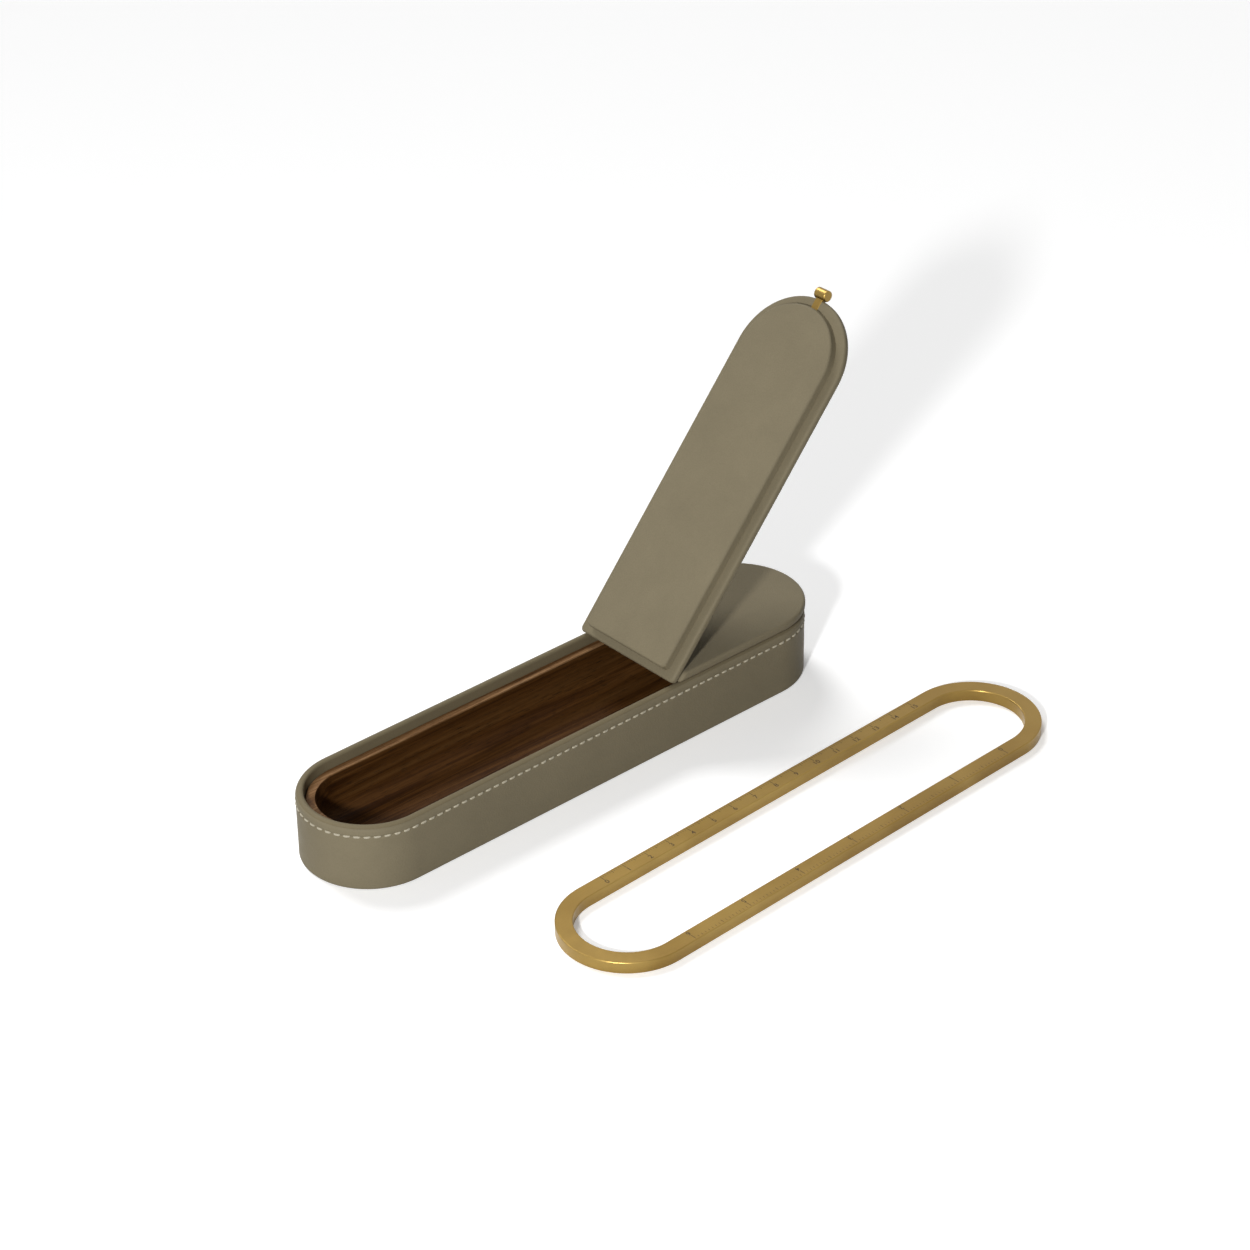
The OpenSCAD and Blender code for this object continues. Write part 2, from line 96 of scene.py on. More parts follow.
RULER_BEVEL = 0.3
CENTIMETRES = 15
INCHES = 6

# Where the fine pieces differ a little from those sizes, in millimetres
LID_INSET = 0.45        # the lid's leather from the box's outline, a little out from its solid
RULER_WORN = 0.04       # off the frame's length and width, so that it stays inside its solid
SIDE_SINK = 0.05        # the side's leather lies this far inside its solid, to leave room for waves
THREAD_SINK = 0.09      # how far the middle of a stitch lies inside the side
THREAD_TALL = 0.42      # half a stitch's height
THREAD_DEEP = 0.30      # half a stitch's thickness

# The ruler's lines, as (length, width), and its figures, in millimetres
WHOLE_LINE = (2.3, 0.22)
HALF_LINE = (1.5, 0.18)
PART_LINE = (0.9, 0.14)
LINE_FROM_BEVEL = 0.35
LINE_SINK = 0.05
LINE_RISE = 0.008
FIGURE_SIZE = 2.8
FIGURE_FROM_INSIDE = 1.75

# Painted shade: the walnut is darkened in the trough, where shade falls, and turns to its plain
# tone at the rim between these heights
RIM_FROM = 20.6
RIM_TO = 21.0
TROUGH_PAINTED_SHADE = (0.29, 0.215, 0.115, 1.0)

# Light. A level is the share of a white face's full brightness that a lamp gives it.
KEY_TRAVELS = (257, 163, -134)
KEY_TOWARDS = (0.08, 0.0, 0.09)
KEY_DISTANCE = 1.3
KEY_SIZE = 0.10
KEY_LEVEL = 0.74
BACK_TRAVELS = (-0.08, -0.62, -0.78)
BACK_LEVEL = 0.56
BACK_SPREAD = 26
SKY_TOWARDS = (-0.6, 0.4, 0.7)
SKY_LEAST = 0.0
SKY_MOST = 0.3

# The floor's shade to the light, and its shade and own glow to the camera
FLOOR_SHADE = 0.55
FLOOR_SEEN = 0.98
FLOOR_GLOW = 0.25
FLOOR_SIZE = 12


# Colours

WHITE = (1.0, 1.0, 1.0, 1.0)


def linear(red, green, blue):
    """A screen colour from 0 to 255, as the linear colour that a shader takes."""
    def channel(value):
        value /= 255
        return value / 12.92 if value <= 0.04045 else ((value + 0.055) / 1.055) ** 2.4
    return (channel(red), channel(green), channel(blue), 1.0)


def times(share, colour):
    """A colour times a share, or times a share for each channel, kept at 1 or below."""
    shares = share if isinstance(share, tuple) else (share, share, share)
    return tuple(min(1.0, part * value) for part, value in zip(shares, colour)) + (1.0,)


class Graph:
    """A material's nodes, with short calls that add and join them."""

    def __init__(self, name):
        self.material = bpy.data.materials.new(name)
        self.material.use_nodes = True
        self.tree = self.material.node_tree
        self.tree.nodes.clear()
        self.output = self.tree.nodes.new("ShaderNodeOutputMaterial")
        self.shader = self.add("BsdfPrincipled")
        self.join(self.shader.outputs["BSDF"], self.output.inputs["Surface"])

    def add(self, kind, **inputs):
        """Adds a node. An input is named with _ for a space, and takes a value or a socket."""
        node = self.tree.nodes.new("ShaderNode" + kind)
        for name, value in inputs.items():
            self.feed(node.inputs[name.replace("_", " ")], value)
        return node

    def feed(self, socket, value):
        if isinstance(value, bpy.types.NodeSocket):
            self.join(value, socket)
        else:
            socket.default_value = value

    def join(self, source, target):
        self.tree.links.new(source, target)

    def place(self, per_mm=(1, 1, 1), turn=(0, 0, 0)):
        """The surface's own coordinates in millimetres, times per_mm."""
        coordinates = self.add("TexCoord")
        mapping = self.add("Mapping", Vector=coordinates.outputs["Object"])
        mapping.inputs["Scale"].default_value = [1000 * scale for scale in per_mm]
        mapping.inputs["Rotation"].default_value = turn
        return mapping.outputs["Vector"]

    def noise(self, vector, scale=1.0, detail=2.0, roughness=0.5, distortion=0.0):
        node = self.add("TexNoise", Vector=vector, Scale=scale, Detail=detail,
                        Roughness=roughness, Distortion=distortion)
        return node.outputs["Fac"]

    def cells(self, vector, scale):
        """Rounded pebbles: 0 in the middle of a cell and about 1 at its border."""
        node = self.tree.nodes.new("ShaderNodeTexVoronoi")
        node.feature = "SMOOTH_F1"
        self.feed(node.inputs["Vector"], vector)
        self.feed(node.inputs["Scale"], scale)
        self.feed(node.inputs["Smoothness"], 0.4)
        return node.outputs["Distance"]

    def math(self, operation, first, second):
        node = self.tree.nodes.new("ShaderNodeMath")
        node.operation = operation
        self.feed(node.inputs[0], first)
        self.feed(node.inputs[1], second)
        return node.outputs[0]

    def spread(self, value, low, high, to_low=0.0, to_high=1.0):
        """value from low..high, taken to to_low..to_high and kept inside it."""
        node = self.add("MapRange", Value=value)
        for name, number in (("From Min", low), ("From Max", high),
                             ("To Min", to_low), ("To Max", to_high)):
            node.inputs[name].default_value = number
        return node.outputs["Result"]

    def mix(self, factor, first, second, blend="MIX"):
        node = self.tree.nodes.new("ShaderNodeMix")
        node.data_type = "RGBA"
        node.blend_type = blend
        self.feed(node.inputs["Factor"], factor)
        colours = [socket for socket in node.inputs if socket.type == "RGBA"]
        self.feed(colours[0], first)
        self.feed(colours[1], second)
        return [socket for socket in node.outputs if socket.type == "RGBA"][0]

    def ramp(self, value, *stops):
        """A colour ramp through (place, colour) stops."""
        node = self.add("ValToRGB", Fac=value)
        elements = node.color_ramp.elements
        while len(elements) < len(stops):
            elements.new(0.5)
        for element, (place, colour) in zip(elements, stops):
            element.position = place
            element.color = colour
        return node.outputs["Color"]

    def height(self):
        """Height above the table in millimetres, at rest."""
        split = self.add("SeparateXYZ", Vector=self.place())
        return split.outputs["Z"]

    def bumps(self, *layers):
        """Bump layers of (height, depth in millimetres), one over the other."""
        normal = None
        for height, depth in layers:
            node = self.add("Bump", Height=height, Strength=1.0, Distance=depth * MM)
            if normal is not None:
                self.join(normal, node.inputs["Normal"])
            normal = node.outputs["Normal"]
        self.join(normal, self.shader.inputs["Normal"])

    def finish(self, **inputs):
        for name, value in inputs.items():
            self.feed(self.shader.inputs[name.replace("_", " ")], value)
        return self.material


def leather(name, colour):
    """Pebble-grained leather: fine cells, a slow warp and a soft mottle."""
    pebble, depth, gloss = 0.55, 0.03, 0.5
    graph = Graph(name)
    place = graph.place()
    warp = graph.noise(place, 0.9, 2.0)
    grain = graph.cells(place, 1 / pebble)
    fine = graph.noise(place, 6.0, 3.0, 0.6)
    mottle = graph.noise(place, 0.06, 3.0, 0.55, 0.4)
    patch = graph.noise(place, 0.35, 3.0, 0.6)
    valleys = graph.spread(grain, 0.25, 0.75)
    dark, light = times(0.80, colour), times(1.12, colour)
    tone = graph.mix(graph.spread(mottle, 0.3, 0.7), dark, light)
    tone = graph.mix(0.72, tone, colour)
    tone = graph.mix(graph.math("MULTIPLY", valleys, 0.22), tone, dark)
    tone = graph.mix(graph.spread(patch, 0.35, 0.75, 0.0, 0.10), tone, light)
    rough = graph.spread(graph.math("ADD", patch, graph.math("MULTIPLY", fine, 0.4)),
                         0.4, 1.0, gloss - 0.05, gloss + 0.09)
    graph.bumps((warp, 0.02), (graph.math("SUBTRACT", 1.0, valleys), depth), (fine, depth * 0.4))
    return graph.finish(Base_Color=tone, Roughness=rough, Specular_IOR_Level=0.07)


def suede(name, colour):
    """Napped leather: short soft fibres, brushed here and there."""
    graph = Graph(name)
    nap = graph.noise(graph.place((3.0, 8.0, 8.0)), 1.0, 3.0, 0.65)
    brushed = graph.noise(graph.place(), 0.08, 2.0)
    dark = times(0.7, colour)
    tone = graph.mix(graph.spread(nap, 0.3, 0.7), dark, colour)
    tone = graph.mix(graph.spread(brushed, 0.4, 0.65, 0.0, 0.35), tone, dark)
    graph.bumps((nap, 0.06))
    return graph.finish(Base_Color=tone, Roughness=0.95, Specular_IOR_Level=0.15)


def board(name):
    """Raw fibreboard with short fibres and flecks."""
    graph = Graph(name)
    fibres = graph.noise(graph.place((1.0, 3.0, 6.0)), 1.0, 4.0, 0.65)
    flecks = graph.noise(graph.place(), 2.4, 2.0, 0.6)
    tone = graph.ramp(fibres, (0.3, linear(150, 140, 120)), (0.7, linear(186, 176, 154)))
    tone = graph.mix(graph.spread(flecks, 0.66, 0.74, 0.0, 0.6), tone, linear(120, 106, 84))
    graph.bumps((fibres, 0.05))
    return graph.finish(Base_Color=tone, Roughness=0.9, Specular_IOR_Level=0.2)


def walnut(name):
    """Oiled walnut, its grain along the box: broad figure, growth bands, fibres and pores, with
    painted shade in the trough.
    """
    graph = Graph(name)
    figure = graph.noise(graph.place((0.006, 0.05, 0.05)), 1.0, 2.0, 0.5, 0.6)
    bands = graph.noise(graph.place((0.010, 0.34, 0.30), (0.0, 0.0, 0.02)), 1.0, 3.0, 0.6, 0.9)
    fibres = graph.noise(graph.place((0.05, 3.2, 3.2)), 1.0, 4.0, 0.7)
    pores = graph.noise(graph.place((0.22, 5.5, 5.5)), 1.0, 1.0, 0.4)
    grain = graph.math("ADD", graph.math("MULTIPLY", bands, 0.7),
                       graph.math("MULTIPLY", figure, 0.3))
    tone = graph.ramp(grain, (0.30, linear(58, 35, 15)), (0.44, linear(106, 73, 40)),
                      (0.56, linear(152, 115, 77)), (0.72, linear(182, 147, 110)))
    tone = graph.mix(graph.spread(fibres, 0.35, 0.68, 0.0, 0.45), tone, linear(60, 41, 27))
    open_pores = graph.spread(pores, 0.63, 0.72)
    tone = graph.mix(graph.math("MULTIPLY", open_pores, 0.7), tone, linear(26, 15, 8))
    # Painted shade: below the rim heights the walnut is multiplied by the trough's darker painted
    # shade.
    rim = graph.spread(graph.height(), RIM_FROM, RIM_TO)
    tone = graph.mix(1.0, tone, graph.mix(rim, TROUGH_PAINTED_SHADE, WHITE), "MULTIPLY")
    rough = graph.spread(fibres, 0.3, 0.7, 0.5, 0.64)
    graph.bumps((bands, 0.03), (graph.math("SUBTRACT", 1.0, open_pores), 0.04), (fibres, 0.015))
    return graph.finish(Base_Color=tone, Roughness=rough, Specular_IOR_Level=0.1)


def brass(name, colour):
    """Brushed brass: fine lines along the piece, a light tarnish, and painted shade that darkens
    its upward faces.
    """
    rough = 0.34
    graph = Graph(name)
    lines = graph.noise(graph.place((0.05, 4.0, 4.0)), 1.0, 3.0, 0.6)
    tarnish = graph.noise(graph.place(), 0.022, 3.0, 0.5, 0.3)
    spots = graph.noise(graph.place(), 0.6, 2.0, 0.5)
    dark = times((0.62, 0.56, 0.48), colour)
    tone = graph.mix(graph.spread(tarnish, 0.38, 0.66, 0.0, 0.75), colour, dark)
    tone = graph.mix(graph.spread(lines, 0.3, 0.7, 0.0, 0.16), tone, dark)
    # Painted shade: faces that point up are mixed towards the dark brass colour.
    up_facing_painted_shade = graph.add("SeparateXYZ", Vector=graph.add("TexCoord").outputs["Normal"])
    tone = graph.mix(graph.spread(up_facing_painted_shade.outputs["Z"], 0.75, 0.95, 0.0, 0.4), tone, dark)
    roughness = graph.math("ADD", graph.spread(lines, 0.3, 0.7, rough - 0.06, rough + 0.08),
                           graph.spread(spots, 0.4, 0.7, 0.0, 0.05))
    graph.bumps((lines, 0.006))
    return graph.finish(Base_Color=tone, Metallic=1.0, Roughness=roughness)


def thread(name, colour):
    """Waxed linen thread: a tight twist along each stitch."""
    graph = Graph(name)
    fibre = graph.noise(graph.place((2.0, 2.0, 9.0)), 1.0, 2.0, 0.6)
    dark = times(0.66, colour)
    tone = graph.mix(graph.spread(fibre, 0.35, 0.65), dark, colour)
    graph.bumps((fibre, 0.04))
    return graph.finish(Base_Color=tone, Roughness=0.62, Specular_IOR_Level=0.4)


def filling(name, colour):
    """The dark filling of an engraved mark, a little uneven."""
    graph = Graph(name)
    worn = graph.noise(graph.place(), 2.5, 3.0, 0.6)
    tone = graph.mix(graph.spread(worn, 0.45, 0.8, 0.0, 0.6), colour, times(2.4, colour))
    graph.bumps((worn, 0.01))
    return graph.finish(Base_Color=tone, Roughness=0.6, Specular_IOR_Level=0.3)


MATERIALS = {
    "leather": leather("leather", linear(126, 117, 95)),
    "lining_leather": leather("lining_leather", linear(117, 107, 84)),
    "suede": suede("suede", linear(98, 90, 76)),
    "board": board("board"),
    "walnut": walnut("walnut"),
    "brass": brass("brass", linear(160, 134, 76)),
    "thread": thread("thread", linear(192, 184, 162)),
    "enamel": filling("enamel", linear(66, 50, 26)),
}


def dress_nodes():
    """Every CAD node takes its record slot's material."""
    for entry in frame["record"]["subparts"]:
        mesh = frame["nodes"][entry["node"]].data
        mesh.materials.clear()
        mesh.materials.append(MATERIALS[entry["material_slot"]])


dress_nodes()


# Pieces

class Shape:
    """A mesh built from closed rings of points, in millimetres."""

    def __init__(self):
        self.points = []
        self.faces = []

    def ring(self, points):
        start = len(self.points)
        self.points.extend(tuple(point) for point in points)
        return list(range(start, len(self.points)))

    def bridge(self, first, second):
        count = len(first)
        for i in range(count):
            j = (i + 1) % count
            self.faces.append((first[i], first[j], second[j], second[i]))

    def stack(self, rings, closed=False):
        """Joins rings in order, and caps both ends or closes the stack on itself."""
        made = [self.ring(points) for points in rings]
        for first, second in zip(made, made[1:]):
            self.bridge(first, second)
        if closed:
            self.bridge(made[-1], made[0])
        else:
            self.faces.append(tuple(made[0]))
            self.faces.append(tuple(made[-1]))

    def move(self, turn):
        self.points = [tuple(turn(Vector(point))) for point in self.points]


def make_piece(name, shape, slot, body, nodes=(), sharp=40):
    """Turns a shape into a piece that rides on a body and may stand for CAD nodes."""
    mesh = bpy.data.meshes.new(name)
    mesh.from_pydata([[MM * value for value in point] for point in shape.points], [], shape.faces)
    edit = bmesh.new()
    edit.from_mesh(mesh)
    bmesh.ops.recalc_face_normals(edit, faces=edit.faces)
    edit.to_mesh(mesh)
    edit.free()
    mesh.polygons.foreach_set("use_smooth", [True] * len(mesh.polygons))
    mesh.set_sharp_from_angle(angle=math.radians(sharp))
    mesh.materials.append(MATERIALS[slot])
    piece = bpy.data.objects.new(name, mesh)
    bpy.context.scene.collection.objects.link(piece)
    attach(piece, body)
    if nodes:
        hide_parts(*nodes)


def arc(centre, radius, start, end, count):
    """Points of an arc in a section, from one angle to another in degrees."""
    points = []
    for i in range(count + 1):
        angle = math.radians(start + (end - start) * i / count)
        points.append((centre[0] + radius * math.cos(angle), centre[1] + radius * math.sin(angle)))
    return points


def obround_stations(length, width, step):
    """(point, outward direction, length run so far) round an obround, and the whole run."""
    radius = width / 2
    straight = length - width
    along = max(2, round(straight / step))
    turn = max(8, round(math.pi * radius / step))
    stations = []
    run = 0.0
    for side in (1, -1):
        for i in range(along):
            x = side * (straight * i / along - straight / 2)
            stations.append((Vector((x, -side * radius)), Vector((0, -side)), run))
            run += straight / along
        for i in range(turn):
            angle = math.pi * i / turn - side * math.pi / 2
            away = Vector((math.cos(angle), math.sin(angle)))
            place = Vector((side * straight / 2, 0)) + radius * away
            stations.append((place, away, run))
            run += math.pi * radius / turn
    return stations, run


def sweep(section, stations, outset=lambda run, inset, z: 0.0):
    """Sweeps a section of (inset, z) round the stations. outset moves a point of it outwards."""
    shape = Shape()
    rings = []
    for place, away, run in stations:
        ring = []
        for inset, z in section:
            point = place - away * (inset - outset(run, inset, z))
            ring.append((point.x, point.y, z))
        rings.append(ring)
    shape.stack(rings, closed=True)
    return shape


def uneven(place, depth):
    """A soft unevenness, the same each time."""
    return depth * noise.noise(Vector(place))


WALL_STATIONS, WALL_RUN = obround_stations(BOX_LENGTH, BOX_WIDTH, 0.7)
STITCHES = round(WALL_RUN / STITCH_PITCH)
TRUE_PITCH = WALL_RUN / STITCHES
BOARD_TOP = WALL_HEIGHT - SHOULDER


def make_side_leather():
    """The leather on the side: soft lower edge, a pressed groove for the thread, tucked seam."""
    section = arc((0.8, 0.8), 0.8, 270, 180, 6)
    section += [(0.0, z) for z in (2.0, 5.0, 9.0, 13.0, 16.5, 18.5)]
    section += [(0.0, STITCH_Z - 1.2 + 0.2 * i) for i in range(13)]
    seam = WALL_HEIGHT - SEAM_DROP - 0.1
    lean = math.degrees(math.asin((seam - BOARD_TOP) / SHOULDER))
    section += arc((SHOULDER, BOARD_TOP), SHOULDER, 180, 180 - lean, 6)
    inset, z = section[-1]
    section += [(inset + 0.10, z + 0.05), (OUTER_LEATHER, z + 0.03)]
    section += [(OUTER_LEATHER, STITCH_Z), (OUTER_LEATHER, BASE_PAD)]
    section += [(TURN_IN, BASE_PAD), (TURN_IN, 0.0)]

    def outset(run, inset, z):
        if inset > 0.6 or z < 0.9:
            return 0.0
        along = run / TRUE_PITCH
        phase = abs(along - round(along))
        hole = math.exp(-((phase - 0.5) / 0.14) ** 2)
        groove = math.exp(-((z - STITCH_Z) / 0.45) ** 2)
        pillow = math.exp(-((z - STITCH_Z) / 1.6) ** 2)
        wave = uneven((run * 0.03, z * 0.05, 3.0), 0.04)
        return wave - SIDE_SINK - groove * (0.20 + 0.14 * hole) + 0.05 * pillow * (1 - groove)

    shape = sweep(section, WALL_STATIONS, outset)
    make_piece("side_leather", shape, "leather", "tray", ["outer_leather"])


def make_crest_leather():
    """The leather over the crest and down the inside of the wall."""
    inner = WALL - SHOULDER
    section = [(WALL, z) for z in (BASE_TOP, 8.0, 14.0, 19.0)]
    section += arc((SHOULDER, WALL_HEIGHT - inner), inner, 0, 90, 8)
    seam = WALL_HEIGHT - SEAM_DROP + 0.02
    lean = math.degrees(math.asin((seam - BOARD_TOP) / SHOULDER))
    section += arc((SHOULDER, BOARD_TOP), SHOULDER, 90, 180 - lean, 10)[1:]
    inset, z = section[-1]
    section += [(inset + 0.06, z - 0.09), (inset + 0.3, z - 0.1), (OUTER_LEATHER, BOARD_TOP + 0.5)]
    section += [(OUTER_LEATHER + 0.1, BOARD_TOP), (WALL - LINING, BOARD_TOP),
                (WALL - LINING, BASE_TOP)]

    def outset(run, inset, z):
        if z < 15:
            return 0.0
        return uneven((run * 0.05, z * 0.08, 7.0), 0.05)

    shape = sweep(section, WALL_STATIONS, outset)
    make_piece("crest_leather", shape, "lining_leather", "tray", ["lining_leather"])


def make_wall_thread():
    """Saddle stitches that dive into their holes, each a little different."""
    shape = Shape()
    random.seed(11)
    radius = BOX_WIDTH / 2
    straight = BOX_LENGTH - BOX_WIDTH

    def at(run):
        run %= WALL_RUN
        half_run = WALL_RUN / 2
        side = 1 if run < half_run else -1
        run %= half_run
        if run < straight:
            return Vector((side * (run - straight / 2), -side * radius)), Vector((0, -side))
        angle = (run - straight) / radius - side * math.pi / 2
        away = Vector((math.cos(angle), math.sin(angle)))
        return Vector((side * straight / 2, 0)) + radius * away, away

    for k in range(STITCHES):
        slant = random.uniform(0.02, 0.07)
        lift = random.uniform(-0.03, 0.03)
        reach = TRUE_PITCH * random.uniform(0.33, 0.37)
        rings = []
        for i in range(11):
            share = i / 5 - 1
            place, away = at(k * TRUE_PITCH + share * reach)
            dive = abs(share) ** 4
            out = -THREAD_SINK - 0.4 * dive
            tall = THREAD_TALL * (1 - 0.35 * dive)
            deep = THREAD_DEEP * (1 - 0.3 * dive)
            ring = []
            for j in range(10):
                angle = 2 * math.pi * j / 10
                point = place + away * (out + deep * math.cos(angle))
                z = STITCH_Z + lift + slant * share * reach + tall * math.sin(angle)
                ring.append((point.x, point.y, z))
            rings.append(ring)
        shape.stack(rings)
    make_piece("wall_thread", shape, "thread", "tray", ["wall_stitching"], sharp=60)


def make_base_suede():
    """The pad under the base, with a softly rolled edge."""
    profile = [(1.5, 0.02)] + arc((0.35, 0.37), 0.35, 270, 180, 4)
    profile += [(0.0, BASE_PAD), (1.5, BASE_PAD)]
    from_side = 2 * (TURN_IN + PAD_GAP)
    stations = obround_stations(BOX_LENGTH - from_side, BOX_WIDTH - from_side, 1.5)[0]
    shape = Shape()
    shape.stack([[(*(place - away * inset), z) for place, away, _ in stations]
                 for inset, z in profile])
    make_piece("base_suede", shape, "suede", "tray", ["base_pad"])


def half_outline(side, cut, half, corner):
    """The end of an obround on one side of the box, from a straight cut with rounded corners."""
    middle = (BOX_LENGTH - BOX_WIDTH) / 2
    start = side * cut
    corner = max(corner, 0.1)
    along = 24
    points = arc((start + corner, half - corner), corner, 180, 90, 6)
    span = middle - start - corner
    points += [(start + corner + span * i / along, half) for i in range(1, along)]
    points += arc((middle, 0), half, 90, -90, 72)
    points += [(middle - span * i / along, -half) for i in range(1, along)]
    points += arc((start + corner, corner - half), corner, 270, 180, 6)
    return [(side * x, y) for x, y in points]


def plate(side, cut_at, half, corner, profile):
    """A plate of that outline whose edge follows a profile of (inset, z)."""
    shape = Shape()
    shape.stack([[(x, y, z) for x, y in half_outline(side, cut_at(z) + side * inset,
                                                     half - inset, corner - inset)]
                 for inset, z in profile])
    return shape


def edge_profile(under, over, under_radius, over_radius):
    """A plate's profile from the middle of its underside round its edge to its top."""
    profile = [(3.0, under), (under_radius + 0.3, under)]
    profile += arc((under_radius, under + under_radius), under_radius, 270, 180, 8)
    profile += arc((over_radius, over - over_radius), over_radius, 180, 90, 8)
    return profile + [(over_radius + 0.3, over), (3.0, over)]


def opened(point):
    """A point of the closed lid, with the lid turned open about its pin."""
    return HINGE + Matrix.Rotation(LID_OPEN, 3, "Y") @ (point - HINGE)


def make_lid():
    """The lid's leather and the panel raised under it."""
    profile = edge_profile(LID_UNDER, LID_TOP, 0.9, 1.15)
    shape = plate(-1, lambda z: HINGE_END, BOX_WIDTH / 2 - LID_INSET, 1.8, profile)
    shape.move(opened)
    make_piece("lid_cover_leather", shape, "leather", "lid", ["lid_leather"])
    profile = [(3.0, PANEL_UNDER), (1.2, PANEL_UNDER)]
    profile += arc((0.9, PANEL_UNDER + 0.9), 0.9, 270, 180, 8)
    profile += [(0.0, LID_UNDER - 0.4), (-0.12, LID_UNDER - 0.08), (-0.12, LID_UNDER + 0.3)]
    shape = plate(-1, lambda z: PANEL_END, BOX_WIDTH / 2 - PANEL_INSET, 2.0, profile)
    shape.move(opened)
    make_piece("lid_panel_skin", shape, "leather", "lid", ["lid_panel_leather"])


def make_cover():
    """The fixed cover's leather, with its front edge slanted to meet the open lid."""
    lean = math.pi - LID_OPEN

    def front(z):
        return HINGE.x + (COVER_EDGE_OFFSET + math.cos(lean) * (z - HINGE.z)) / math.sin(lean)

    profile = edge_profile(LID_UNDER, COVER_TOP, 1.1, 1.0)
    shape = plate(1, front, BOX_WIDTH / 2 + COVER_OVERHANG, 1.6, profile)
    make_piece("cover_skin", shape, "leather", "tray", ["cover_leather"])


def make_pull():
    """The pull: a turned bar with chamfered ends and the flat stem that holds it."""
    half = BAR_LENGTH / 2
    profile = [(-half, 0.5), (-half, 1.72), (-half + 0.05, 1.8), (-half + 0.28, 2.04),
               (-half + 0.4, BAR_RADIUS), (-half + 1.0, BAR_RADIUS)]
    profile += [(-y, radius) for y, radius in reversed(profile)]
    turns = [2 * math.pi * i / 64 for i in range(64)]
    shape = Shape()
    shape.stack([[(BAR_CENTRE.x + radius * math.cos(turn), y,
                   BAR_CENTRE.z + radius * math.sin(turn)) for turn in turns]
                 for y, radius in profile])
    shape.move(opened)
    make_piece("pull_handle", shape, "brass", "lid", ["pull_bar"], sharp=25)
    shape = Shape()
    side, low, high, cut = STEM_WIDTH / 2, LID_UNDER - 0.18, LID_UNDER + 1.6, 0.22
    section = [(side - cut, low), (side, low + cut), (side, high), (-side, high),
               (-side, low + cut), (cut - side, low)]
    ends = (BAR_CENTRE.x + 1.2, LID_TIP + STEM_SEAT - 0.2)
    shape.stack([[(x, y, z) for y, z in section] for x in ends])
    shape.move(opened)
    make_piece("pull_plate", shape, "brass", "lid", ["pull_stem"], sharp=25)


def beside_box(point):
    """A point of the ruler frame, where the frame lies."""
    return RULER_CENTRE + Matrix.Rotation(RULER_ANGLE, 3, "Z") @ point


def make_ruler():
    """The brass frame: a flat band with small bevels along its edges."""
    top, bevel, band = RULER_TOP, RULER_BEVEL, RULER_BAND
    section = [(bevel, 0.0), (0.0, bevel), (0.0, 1.5), (0.0, 3.0), (0.0, top - bevel)]
    section += [(0.12, top - 0.1), (bevel, top), (1.5, top), (band - 1.5, top), (band - bevel, top)]
    section += [(band - 0.1, top - 0.12), (band, top - bevel), (band, bevel), (band - bevel, 0.0)]
    stations = obround_stations(RULER_LENGTH - RULER_WORN, RULER_WIDTH - RULER_WORN, 1.0)[0]
    shape = sweep(section, stations)
    shape.move(beside_box)
    make_piece("ruler_band", shape, "brass", "ruler", ["ruler_frame"], sharp=22)


def add_mark(shape, x, outer, length, width):
    """A thin filled line across the band."""
    left, right, inner = x - width / 2, x + width / 2, outer - length
    corners = [(left, inner), (right, inner), (right, outer), (left, outer)]
    shape.stack([[(a, b, z) for a, b in corners]
                 for z in (RULER_TOP - LINE_SINK, RULER_TOP + LINE_RISE)])


def turned_end(point):
    """The other long side of the ruler frame."""
    return Vector((-point.x, -point.y, point.z))


def make_scale(name, node, wholes, step, parts, side):
    """A scale's lines, and its numbers as filled figures."""
    outer = RULER_WIDTH / 2 - RULER_BEVEL - LINE_FROM_BEVEL
    shape = Shape()
    for i in range(wholes * parts + 1):
        line = WHOLE_LINE if i % parts == 0 else HALF_LINE if 2 * i % parts == 0 else PART_LINE
        add_mark(shape, (i / parts - wholes / 2) * step, outer, *line)
    if side < 0:
        shape.move(turned_end)
    shape.move(beside_box)
    make_piece(name, shape, "enamel", "ruler", [node])
    for i in range(wholes + 1):
        make_figure("{}_{}".format(name, i), str(i), (i - wholes / 2) * step, side)


def make_figure(name, text, x, side):
    """One number, centred under its line."""
    words = bpy.data.curves.new(name, "FONT")
    words.body = text
    words.size = FIGURE_SIZE * MM
    words.align_x = "CENTER"
    words.align_y = "CENTER"
    words.offset = 0.03 * MM
    words.extrude = 0.02 * MM
    words.resolution_u = 3
    draft = bpy.data.objects.new(name, words)
    mesh = bpy.data.meshes.new_from_object(draft)
    bpy.data.objects.remove(draft)
    place = Vector((x, RULER_WIDTH / 2 - RULER_BAND + FIGURE_FROM_INSIDE, RULER_TOP - 0.01))
    half_turn = Matrix.Rotation(math.pi, 4, "Z") if side < 0 else Matrix.Identity(4)
    lay = Matrix.Rotation(RULER_ANGLE, 4, "Z") @ half_turn @ Matrix.Translation(place * MM)
    mesh.transform(Matrix.Translation(RULER_CENTRE * MM) @ lay)
    mesh.materials.clear()
    mesh.materials.append(MATERIALS["enamel"])
    piece = bpy.data.objects.new(name, mesh)
    bpy.context.scene.collection.objects.link(piece)
    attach(piece, "ruler")


make_side_leather()
make_crest_leather()
make_wall_thread()
make_base_suede()
make_lid()
make_cover()
make_pull()
make_ruler()
make_scale("centimetre_scale", "centimetre_marks", CENTIMETRES, 10.0, 10, 1)
make_scale("inch_scale", "inch_marks", INCHES, 25.4, 16, -1)


# Stage, lights and camera

